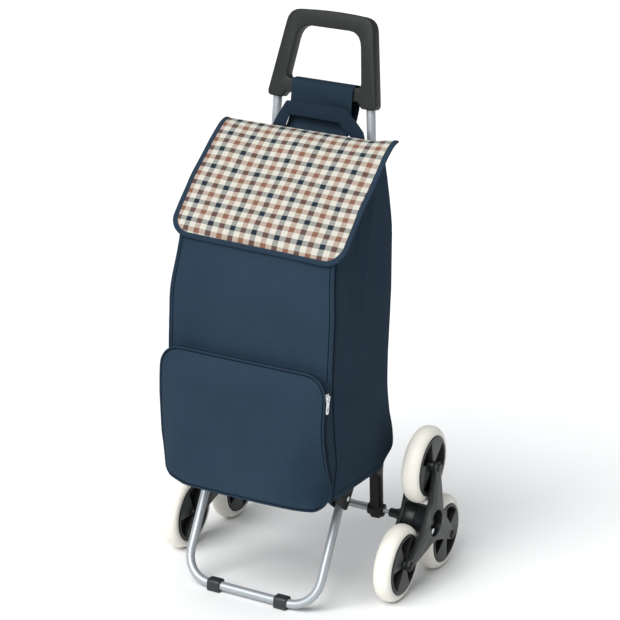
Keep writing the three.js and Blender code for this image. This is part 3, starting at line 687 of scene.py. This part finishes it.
def back_edge():
    """The strip of cloth that joins the top of the bag's back to the edge the flap turns on."""
    side_view = [(-124, 792), (-119.5, 799), (-113.5, 805.4), (-107.2, 812.1), (-106, 811.4), (-112.5, 804),
                 (-118.3, 797.5), (-122.6, 791.5)]
    rings = []
    for k in range(61):
        x = 146 * (2 * k / 60 - 1)
        wave = 0.6 * noise.noise(Vector((x * 0.03, 0, 0)))
        rings.append([at(x, y, z + wave * rise(810, 800, z)) for y, z in side_view])
    verts, faces = skin(rings)
    # the strip takes the darker copy of the navy cloth: painted shade under the flap
    flattens(piece("back_edge", verts, faces, "frame", [NAVY_SHADED_INSIDE]))


def bag_seams():
    """Piping down the front edges with a dark line of painted shade for a groove on each side, and stitches
    beside it and along the hem.
    """
    corner = FRONT_CORNER * (1 - math.sqrt(0.5))
    for side, sign in SIDES:
        verts, faces = sweep(seam_line(sign, SEAM_LOW, SEAM_HIGH, corner, corner), circle(2.0 * MM, 8))
        flattens(piece(f"front_piping_{side}", verts, faces, "frame", [BINDING]))
        for name, across, behind in (("front", 7.5, 0), ("side", 0, 5.5)):
            # thin dark tubes beside the piping: painted shade for its grooves
            verts, faces = sweep(seam_line(sign, SEAM_LOW, SEAM_HIGH, across, behind), circle(0.8 * MM, 6))
            flattens(piece(f"{name}_groove_shade_{side}", verts, faces, "frame", [GROOVE_SHADE]))
        row = []
        for k in range(200):
            z = 462 + 185 * k / 199
            front, _, _, half = interpolate(BAG_SIDE_VIEW, z)
            row.append(at(sign * half, front + 11, z))
        stitches(f"side_stitches_{side}", row)
        hem = []
        for k in range(200):
            y = -240 + 190 * k / 199
            hem.append(at(sign * 155, y, 231 + 0.6 * math.sin(y * 0.05)))
        stitches(f"hem_stitches_{side}", hem)


def stitches(name, line, pitch=3.2, stitch=2.1):
    """A row of short raised threads laid on the bag's surface along a line."""
    run = [0.0]
    for a, b in zip(line, line[1:]):
        run.append(run[-1] + (b - a).length / MM)
    table = [(r, *point) for r, point in zip(run, line)]
    verts = []
    faces = []
    for k in range(int(run[-1] / pitch)):
        start = Vector(interpolate(table, k * pitch))
        end = Vector(interpolate(table, k * pitch + stitch))
        both = [point + bag_sag(point) for point in (start, end)]
        for point in both:
            point.x += math.copysign(0.25 * MM, point.x - AXLE.x)
        middle = (both[0] + both[1]) / 2 + Vector((math.copysign(0.35 * MM, both[0].x - AXLE.x), 0, 0))
        part, sides = sweep([both[0], middle, both[1]], circle(0.33 * MM, 5))
        faces += [tuple(index + len(verts) for index in face) for face in sides]
        verts += part
    return flattens(piece(name, verts, faces, "frame", [THREAD]))


# ---------- pocket ----------
# the pocket's front seam as (x, y, z): down the zip side, along the bottom, up the other side, over the top
POCKET_SEAM = [
    (157, -311, 419), (157, -310, 365), (157, -305, 342), (157, -297, 320), (157, -288.5, 298),
    (157, -279, 279), (157, -271, 262), (157, -265, 247), (156.5, -268, 233), (155, -284, 225),
    (149, -303, 221.5), (134, -310, 220.5), (109, -315, 220), (60, -318.5, 220), (0, -320, 220),
    (-60, -320, 220), (-92, -318, 220.5), (-111, -310, 221.5), (-130, -300, 222.5), (-140, -293, 226),
    (-148, -286, 232), (-153.5, -280, 243), (-155, -285, 271), (-155, -293, 297), (-155, -300, 335),
    (-155, -305, 363), (-155, -308, 391), (-155, -309, 419), (-152.3, -310, 433.5), (-144.5, -311, 446),
    (-132.8, -311, 454), (-119, -311, 457), (-60, -311, 457), (0, -311, 457), (60, -311, 457),
    (119, -311, 457), (133.5, -311, 454), (146, -311, 446), (154, -311, 433.5),
]
POCKET_FRONT, POCKET_MIDDLE, POCKET_ACROSS, POCKET_UP = -323, 338, 157, 118
GUSSET_MIDDLE, GUSSET_REACH = 340, 160  # the height that the pocket's sides draw in towards, and its distance
CALM_REACH = 11  # how many of the seam's points, each way, even out its depth


def closed_line(points, spacing):
    """A smooth closed line through points, counter-clockwise as seen from the front."""
    points = [Vector(point) for point in reversed(points)]
    count = len(points)
    line = []
    for i in range(count):
        p0, p1, p2, p3 = (points[(i + k) % count] for k in (-1, 0, 1, 2))
        steps = max(round((p2 - p1).length / spacing), 1)
        for k in range(steps):
            t = k / steps
            bend = 0.5 * (p0 + p2 - 2 * p1) * (1 - t) ** 2 * t + 0.5 * (p1 + p3 - 2 * p2) * t ** 2 * (1 - t)
            line.append(p1 + (p2 - p1) * t - bend * 0.8)
    return line


def inset_outline(points, distance):
    """Move an outline's points inward along their normals."""
    moved = []
    for i, (x, z) in enumerate(points):
        (x0, z0), (x1, z1) = points[i - 1], points[(i + 1) % len(points)]
        length = math.hypot(x1 - x0, z1 - z0)
        moved.append((x - distance * (z1 - z0) / length, z + distance * (x1 - x0) / length))
    return moved


def seam(spacing=5.0, out=0.0):
    """The pocket's front seam as dense points, moved outward by a distance."""
    line = closed_line(POCKET_SEAM, spacing)
    moved = inset_outline([(point.x, point.z) for point in line], -out)
    return [Vector((x, point.y, z)) for point, (x, z) in zip(line, moved)]


def fullness(distance, width):
    """0 at a seam, 1 a given width away from it: steep at first, as stuffed cloth is."""
    return 1 - (1 - min(max(distance / width, 0), 1)) ** 1.5


def pocket_face(edge, distance, calm):
    """A point of the pocket's face that lies a distance inside its seam.

    calm is the seam's depth, evened out along the seam.
    """
    start = edge.y + (calm - edge.y) * rise(0, 16, distance)
    rounding = 38 + 0.5 * max(calm + 311, 0)
    share = fullness(distance, rounding)
    x = edge.x * (1 - distance / POCKET_ACROSS)
    z = POCKET_MIDDLE + (edge.z - POCKET_MIDDLE) * (1 - distance / POCKET_UP)
    waves = 1.5 * noise.noise(Vector((x, 40, z)) * 0.016) + 0.6 * noise.noise(Vector((x, 0, z)) * 0.04)
    near_seam = rise(0.5, 5, distance) * rise(22, 8, distance)
    puckers = 0.35 * math.sin((edge.x + edge.z) * 0.55) * near_seam
    return at(x, start + (POCKET_FRONT - start) * share + waves * share + puckers, z)


def pocket():
    """The pocket: its sides draw in between the bag and its front seam, and its face is full."""
    edges = seam()
    calm = []
    for i in range(len(edges)):
        around = [edges[(i + k) % len(edges)].y for k in range(-CALM_REACH, CALM_REACH + 1)]
        calm.append(sum(around) / len(around))
    inner = [(p.x * 0.965, (p.z - GUSSET_MIDDLE) * 0.97 + GUSSET_MIDDLE, p.z) for p in edges]
    rings = [[at(x, bag_front(edge_z) + 3, z) for x, z, edge_z in inner]]
    for share in (0.04, 0.16, 0.32, 0.48, 0.62, 0.74, 0.84, 0.92, 0.97):
        ring = []
        for p in edges:
            start = bag_front(p.z) - 0.5
            y = start + (p.y - start) * share
            hollow = 1.8 * math.sin(math.pi * share) - 1.2 * noise.noise(Vector((p.x, y, p.z)) * 0.035)
            scale = 1 - hollow / GUSSET_REACH
            ring.append(at(p.x * scale, y, (p.z - GUSSET_MIDDLE) * scale + GUSSET_MIDDLE))
        rings.append(ring)
    for distance in (0, 1, 2.5, 5, 8, 12, 17, 23, 30, 38, 48, 60, 74, 88, 100, 110, 115):
        rings.append([pocket_face(p, distance, depth) for p, depth in zip(edges, calm)])
    verts, faces = skin(rings)
    made = piece("pocket_shell", verts, faces, "frame", [NAVY], ["pocket"], smooth=50)
    return flattens(made)


def zip_route(out, behind, spacing=5.0):
    """The part of the pocket's edge that the zip runs along: up both sides and over the top."""
    line = seam(spacing, out)
    start = min(range(len(line)), key=lambda i: abs(line[i].x) + (1000 if line[i].z > 300 else 0))
    turned = line[start:] + line[:start]
    return [at(p.x, p.y + behind, p.z) for p in turned if p.z >= 262]


def pocket_trim():
    """Piping on the front seam with a dark line of painted shade inside it for a groove, and behind it the
    zip: its tape and its coil of teeth.
    """
    verts, faces = sweep([at(*p) for p in seam(4.0, 0.3)], circle(1.9 * MM, 8), closed=True)
    flattens(piece("pocket_piping", verts, faces, "frame", [BINDING]))
    # a thin dark tube inside the piping: painted shade for its groove
    verts, faces = sweep([at(p.x, p.y - 1.2, p.z) for p in seam(4.0, -2.3)], circle(0.8 * MM, 6), closed=True)
    flattens(piece("pocket_groove_shade", verts, faces, "frame", [GROOVE_SHADE]))
    places = ((0.4, 3.0), (0.9, 3.6), (0.9, 12.4), (0.4, 13.0), (-0.8, 13.0), (-0.8, 3.0))
    rings = [list(edges) for edges in zip(*(zip_route(out, behind) for out, behind in places))]
    verts, faces = skin(rings)
    flattens(piece("zip_tape", verts, faces, "frame", [WEBBING]))
    route = zip_route(1.3, 8.0, 1.6)
    rings = []
    for i, point in enumerate(route):
        before, after = route[max(i - 1, 0)], route[min(i + 1, len(route) - 1)]
        ahead = (after - before).normalized()
        side = Vector((0, 1, 0))
        up = ahead.cross(side).normalized()
        size = (1.0 if i % 2 else 0.72) * MM
        rings.append([point + side * (u * 1.6 * size) + up * (v * 0.9 * size) for u, v in circle(1.0, 6)])
    verts, faces = skin(rings)
    flattens(piece("zip_coil", verts, faces, "frame", [PIPING], smooth=20))


# ---------- flap ----------
# the flap's side view as (y, z), from its hinge down over the front
FLAP_LINE = [
    (-106, 815), (-114, 813.5), (-128, 807), (-145, 796), (-166, 779), (-194, 752), (-221, 728),
    (-243, 705), (-264, 682), (-276, 667), (-284, 654), (-287, 640),
]
FLAP_DROOP = 6  # how much farther the zip side hangs down than the other


def flap_line():
    """The flap's side view at even steps, as (run, y, z)."""
    line = smooth_line(FLAP_LINE, 8)
    runs = [0.0]
    for a, b in zip(line, line[1:]):
        runs.append(runs[-1] + (b - a).length)
    return [(run, point.x, point.y) for run, point in zip(runs, line)]


FLAP_HALF, FLAP_CORNER, BINDING_WIDTH, FLAP_THICK = 165, 38, 9, 2.4
FLAP_TABLE = flap_line()
FLAP_LONG = FLAP_TABLE[-1][0]
CHECK_ASIDE, CHECK_DOWN = 11.6, 40.7  # where the check's repeat starts on the flap


def flap_point(x, run, lift):
    """A point of the flap in space: x across, run from the hinge, lift off the middle layer."""
    droop = FLAP_DROOP / 2 * (x / FLAP_HALF) * (run / FLAP_LONG) ** 2
    place = min(run + droop, FLAP_LONG)
    y, z = interpolate(FLAP_TABLE, place)
    y0, z0 = interpolate(FLAP_TABLE, place - 1.5)
    y1, z1 = interpolate(FLAP_TABLE, place + 1.5)
    length = max(math.hypot(y1 - y0, z1 - z0), 1e-6)
    normal = ((z1 - z0) / length, -(y1 - y0) / length)
    # beside its hinge the flap lies flat and low, so that it clears the carrying loop as it opens
    free, off_hinge = rise(0, 60, run), rise(0, 22, run)
    ripple = 1.0 * noise.noise(Vector((x * 0.034, run * 0.03, 8.0)))
    lift += 3.4 * noise.noise(Vector((x * 0.013, run * 0.012, 3.0))) * free
    lift += (ripple + 1.2 * (1 - (x / FLAP_HALF) ** 2)) * off_hinge - 1.2 * (1 - off_hinge)
    # the back corner on the zip side stands up a little
    lift += 7 * rise(105, FLAP_HALF, x) * rise(75, 0, run)
    return at(x, y + normal[0] * lift, z + normal[1] * lift - (run + droop - place))


def flap():
    """The flap: one sheet with rounded corners, a bound edge, and a check that follows its cloth."""
    inner_half = FLAP_HALF - BINDING_WIDTH
    inner_end = FLAP_LONG - BINDING_WIDTH
    radius = FLAP_CORNER - BINDING_WIDTH
    rows = [(inner_end - radius) * k / 34 for k in range(35)]
    rows += [inner_end - radius + radius * math.sin(math.radians(90 * k / 10)) for k in range(1, 11)]
    columns = 60
    grid = []
    for run in rows:
        ahead = max(run - (inner_end - radius), 0)
        half = inner_half - radius + math.sqrt(max(radius ** 2 - ahead ** 2, 0))
        grid.append([(half * (2 * k / columns - 1), run) for k in range(columns + 1)])
    flat = [point for row in grid for point in row]
    faces = []
    width = columns + 1
    for i in range(len(rows) - 1):
        for k in range(columns):
            a = i * width + k
            faces.append((a, a + 1, a + width + 1, a + width))
    inner_faces = len(faces)
    edge = [i * width for i in range(len(rows))]
    edge += [(len(rows) - 1) * width + k for k in range(1, width)]
    edge += [i * width + columns for i in reversed(range(len(rows) - 1))]
    normals = []
    for i, index in enumerate(edge):
        a = flat[edge[max(i - 1, 0)]]
        b = flat[edge[min(i + 1, len(edge) - 1)]]
        length = math.hypot(b[0] - a[0], b[1] - a[1])
        normals.append(((a[1] - b[1]) / length, (b[0] - a[0]) / length))
    lifts = [0.0] * len(flat)
    previous = edge
    for out, lift in ((0.05, 0.7), (2.5, 1.0), (6.0, 1.0), (BINDING_WIDTH - 0.7, 0.7), (BINDING_WIDTH, 0.0)):
        current = []
        for index, (nx, nr) in zip(edge, normals):
            x, run = flat[index]
            current.append(len(flat))
            flat.append((x + nx * out, run + nr * out))
            lifts.append(lift)
        for i in range(len(edge) - 1):
            faces.append((previous[i], previous[i + 1], current[i + 1], current[i]))
        previous = current
    count = len(flat)
    half_thick = FLAP_THICK / 2
    verts = []
    for sign in (1, -1):
        verts += [flap_point(x, run, sign * (half_thick + lift)) for (x, run), lift in zip(flat, lifts)]
    under = [tuple(reversed([index + count for index in face])) for face in faces]
    rim = []
    for i in range(len(edge) - 1):
        rim.append((previous[i], previous[i + 1], previous[i + 1] + count, previous[i] + count))
    for k in range(columns):
        rim.append((k + 1, k, k + count, k + 1 + count))
    made = piece("flap_cloth", verts, faces + under + rim, "flap",
                 [PLAID, BINDING, NAVY_SHADED_INSIDE], ["flap"])
    layer = made.data.uv_layers.new(name="cloth")
    for loop in made.data.loops:
        x, run = flat[loop.vertex_index % count]
        warp_x = 2.8 * noise.noise(Vector((x * 0.012, run * 0.012, 1.0)))
        warp_run = 4.0 * noise.noise(Vector((x * 0.009, run * 0.009, 5.0)))
        warp_run += 2.5 * (x / FLAP_HALF) * (run / FLAP_LONG)
        layer.data[loop.index].uv = ((x + CHECK_ASIDE + warp_x) * MM, (run - CHECK_DOWN - warp_run) * MM)
    for face in made.data.polygons:
        # the underside takes the darker copy of the navy cloth: painted shade
        if face.index < inner_faces:
            face.material_index = 0
        elif len(faces) <= face.index < len(faces) + inner_faces:
            face.material_index = 2
        else:
            face.material_index = 1
    made.data.set_sharp_from_angle(angle=math.radians(60))
    width, length = 2 * FLAP_HALF * MM * 1.01, FLAP_LONG * MM * 1.01
    return made


# ---------- sleeve and carrying loop ----------
# side view of the sleeve as (y, z): from its tail up its front, over the grip's bar and down its back
SLEEVE_LINE = [
    (-100, 806), (-92, 811.5), (-82, 819.5), (-77.5, 832), (-77, 850), (-77, 868), (-77, 883), (-74, 891),
    (-67, 894), (-60, 894.6), (-53, 894), (-46, 891), (-43, 883), (-43.5, 868), (-44.5, 852), (-50, 835),
    (-62, 822.5), (-80, 811.5), (-98, 803.5),
]
SLEEVE_LEFT, SLEEVE_RIGHT = -56, 60


def sleeve():
    """The sleeve: a band of cloth around the grip's bar, its two layers meeting at its tail."""
    line = smooth_line(SLEEVE_LINE, 5)
    columns = 48
    rings = []
    for k in range(columns + 1):
        x = SLEEVE_LEFT + (SLEEVE_RIGHT - SLEEVE_LEFT) * k / columns
        ring = []
        for y, z in line:
            hanging = rise(886, 868, z)
            ripple = 1.6 * noise.noise(Vector((x * 0.03, y * 0.02, z * 0.035))) * hanging
            crease = 0.8 * math.sin(z * 0.17 + x * 0.045) * hanging * rise(812, 826, z)
            ring.append(at(x, y + (ripple + crease) * (1 if y < -60 else -1) - 0.3, z))
        rings.append(ring)
    verts, faces = skin(rings, capped=False)
    # the sleeve takes the darker copy of the navy oxford: painted shade
    made = piece("sleeve_cloth", verts, faces, "frame", [SHADED_SLEEVE_FABRIC], ["hanging_sleeve"])
    modified(made, "SOLIDIFY", thickness=0.0014, offset=-1)
    made.data.shade_smooth()
    made.data.set_sharp_from_angle(angle=math.radians(60))
    return made


STRAP_THICK, STRAP_Y, STRAP_LEAN_FROM, STRAP_LEAN = 2.2, -102.6, 819, 0.28
# the band's section, as (share of its width, share of half its thickness)
STRAP_SECTION = [(0, -0.6), (0.05, -1), (0.5, -1), (0.95, -1), (1, -0.6), (1, 0.6), (0.95, 1), (0.5, 1),
                 (0.05, 1), (0, 0.6)]
# the carrying loop seen from the front, as (outer x, outer z, inner x, inner z): up one leg, across, and down
STRAP_EDGES = [
    (-76, 811, -52, 811), (-74.5, 816, -50.5, 816), (-72, 824, -48.5, 824), (-65, 840, -47, 833),
    (-57.5, 856, -46, 835.4), (-55, 857.8, -44.5, 835.8), (-30, 858.6, -28, 836), (0, 858.8, 0, 835.6),
    (30, 858.8, 26, 835), (54, 858.4, 46, 834.6), (57, 857, 49, 834), (66, 850, 55, 829),
    (80, 839, 64, 821.5), (96, 825, 73, 814.5), (101, 811, 77, 811),
]


def carry_loop():
    """One flat band, folded over at its two upper corners: its legs pass behind its top."""
    rings = []
    for ox, oz, ix, iz in STRAP_EDGES:
        behind = 1.2 * rise(56, 66, abs(ox))
        ring = []
        for share, t in STRAP_SECTION:
            x, z = ox + (ix - ox) * share, oz + (iz - oz) * share
            lean = STRAP_LEAN * max(z - STRAP_LEAN_FROM, 0)
            curl = 0.8 * math.cos(math.pi * (share - 0.5) * 2) + 0.5 * noise.noise(Vector((x, 0, z)) * 0.05)
            curl *= rise(820, 842, z)
            ring.append(at(x, STRAP_Y + lean + behind - curl + t * STRAP_THICK / 2, z))
        rings.append(ring)
    verts, faces = skin(rings)
    made = piece("carry_loop", verts, faces, None, [WEBBING], ["carry_strap"], smooth=40)
    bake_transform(made)
    return made


hard_parts()
tyres()
bag_body()
back_edge()
bag_seams()
pocket()
pocket_trim()
flap()
sleeve()
carry_loop()


# ---------- floor, light and camera ----------
FLOOR_SIZE = 60  # metres


def stage():
    """A pale, plain floor."""
    material, tree, surface = new_material("pale_floor", 0.9, specular=0.1)
    tints = [(0.3, (0.87, 0.87, 0.87)), (0.7, (0.89, 0.89, 0.89))]
    tree.links.new(ramp(tree, noise_value(tree, 3, 2), tints), surface.inputs["Base Color"])
    mesh = bpy.data.meshes.new("floor")
    half = FLOOR_SIZE / 2
    corners = [(-half, -half, 0), (half, -half, 0), (half, half, 0), (-half, half, 0)]
    mesh.from_pydata(corners, [], [(0, 1, 2, 3)])
    mesh.materials.append(material)
    floor = bpy.data.objects.new("floor", mesh)
    bpy.context.scene.collection.objects.link(floor)


def sun(name, towards_left, height, softness, strength):
    """A soft distant light: degrees round to the left of straight ahead, degrees up, and its spread."""
    data = bpy.data.lights.new(name, "SUN")
    data.energy = strength
    data.angle = math.radians(softness)
    light = bpy.data.objects.new(name, data)
    bpy.context.scene.collection.objects.link(light)
    round_, up = math.radians(towards_left), math.radians(height)
    source = Vector((-math.sin(round_) * math.cos(up), -math.cos(round_) * math.cos(up), math.sin(up)))
    light.rotation_euler = (-source).to_track_quat("-Z", "Y").to_euler()


def lights():
    """An even studio: a dim sky, a soft key light from the front and a fainter one from above."""
    scene = bpy.context.scene
    scene.view_settings.view_transform = "Standard"
    world = bpy.data.worlds.new("studio")
    scene.world = world
    world.use_nodes = True
    background = world.node_tree.nodes["Background"]
    background.inputs["Color"].default_value = (0.90, 0.96, 1.0, 1)
    background.inputs["Strength"].default_value = 0.27
    sun("key", 8, 38, 42, 3.8)
    sun("overhead", 0, 86, 60, 0.9)


VIEW_AZIMUTH, VIEW_ELEVATION, VIEW_ROLL = (math.radians(a) for a in (25.875, 16.310, 3.677))
VIEW_PLACE = at(1629.3, -3422.7, 1579.8)
FILM_WIDTH, FOCAL_LENGTH = 36, 128.66


def camera():
    """The photograph's point of view, with the camera rolled a little."""
    data = bpy.data.cameras.new("camera")
    data.sensor_width = FILM_WIDTH
    data.lens = FOCAL_LENGTH
    made = bpy.data.objects.new("camera", data)
    bpy.context.scene.collection.objects.link(made)
    flat = math.cos(VIEW_ELEVATION)
    back = Vector((math.sin(VIEW_AZIMUTH) * flat, -math.cos(VIEW_AZIMUTH) * flat, math.sin(VIEW_ELEVATION)))
    right = (-back).cross(Vector((0, 0, 1))).normalized()
    up = back.cross(right)
    turned_right = right * math.cos(VIEW_ROLL) + up * math.sin(VIEW_ROLL)
    turned_up = up * math.cos(VIEW_ROLL) - right * math.sin(VIEW_ROLL)
    turn = Matrix((turned_right, turned_up, back)).transposed()
    made.matrix_world = Matrix.Translation(VIEW_PLACE) @ turn.to_4x4()
    bpy.context.scene.camera = made


stage()
lights()
camera()
